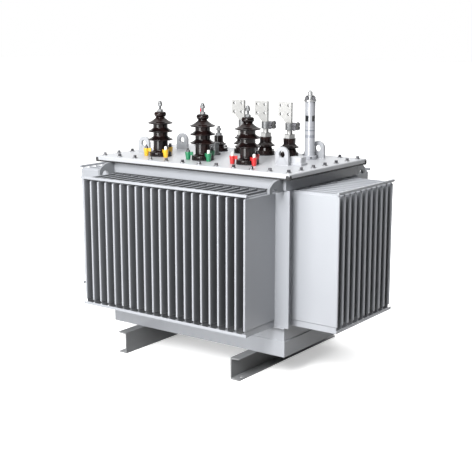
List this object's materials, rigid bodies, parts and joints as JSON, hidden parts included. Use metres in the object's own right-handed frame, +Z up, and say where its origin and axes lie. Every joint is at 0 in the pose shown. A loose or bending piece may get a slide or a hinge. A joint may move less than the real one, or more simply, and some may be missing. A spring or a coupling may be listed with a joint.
{
  "type": "oil-filled distribution transformer with a corrugated-fin tank",
  "caption": "Oil-filled distribution transformer: a corrugated-fin tank on channel skids with bushings, lifting lugs and an oil gauge on its bolted cover.",
  "frame": {"origin": "on the ground under the middle of the tank, level with the undersides of the skid channels", "axes": "+X along the tank's long side towards the oil gauge, -Y towards the high-voltage bushings, +Z up"},
  "size_m": [1.47, 1.026, 1.222],
  "materials": {
    "tank_paint": "satin light grey enamel on sheet steel",
    "cover_paint": "satin light grey enamel",
    "skid_paint": "grey enamel on rolled channel",
    "gasket_rubber": "black oil-resistant rubber",
    "brown_glaze": "dark brown glazed porcelain",
    "zinc": "zinc-plated steel",
    "tinned_flag": "tinned brass, matt silver",
    "claw_yellow": "yellow enamel on a cast claw",
    "claw_green": "green enamel on a cast claw",
    "claw_red": "red enamel on a cast claw",
    "gauge_metal": "silver-grey enamel on a steel tube"
  },
  "bodies": {
    "root": {"skid_left": "skid_paint", "skid_right": "skid_paint", "base_frame": "tank_paint", "tank_trough": "tank_paint", "fin_wall_front": "tank_paint", "fin_wall_rear": "tank_paint", "fin_wall_left": "tank_paint", "fin_wall_right": "tank_paint", "fin_tie_strips": "tank_paint", "corner_post_front_right": "tank_paint", "corner_post_front_left": "tank_paint", "corner_post_rear_right": "tank_paint", "corner_post_rear_left": "tank_paint", "top_frame": "tank_paint", "cover_gasket": "gasket_rubber", "bushing_gaskets": "gasket_rubber", "cover": "cover_paint", "lifting_lug_front_right": "cover_paint", "lifting_lug_front_left": "cover_paint", "lifting_lug_rear_right": "cover_paint", "lifting_lug_rear_left": "cover_paint", "lashing_hook_front_right": "tank_paint", "lashing_hook_front_left": "tank_paint", "lashing_hook_rear_right": "tank_paint", "lashing_hook_rear_left": "tank_paint", "hv_porcelain_a": "brown_glaze", "hv_terminal_a": "zinc", "hv_claws_a": "claw_yellow", "hv_porcelain_b": "brown_glaze", "hv_terminal_b": "zinc", "hv_claws_b": "claw_green", "hv_porcelain_c": "brown_glaze", "hv_terminal_c": "zinc", "hv_claws_c": "claw_red", "lv_porcelain_a": "brown_glaze", "lv_flag_terminal_a": "tinned_flag", "lv_porcelain_b": "brown_glaze", "lv_flag_terminal_b": "tinned_flag", "lv_porcelain_c": "brown_glaze", "lv_flag_terminal_c": "tinned_flag", "neutral_porcelain": "brown_glaze", "neutral_terminal": "zinc", "gauge_tube": "gauge_metal", "gauge_cap": "gauge_metal", "tap_changer": "zinc", "thermometer_pocket": "cover_paint"}
  },
  "joints": []
}
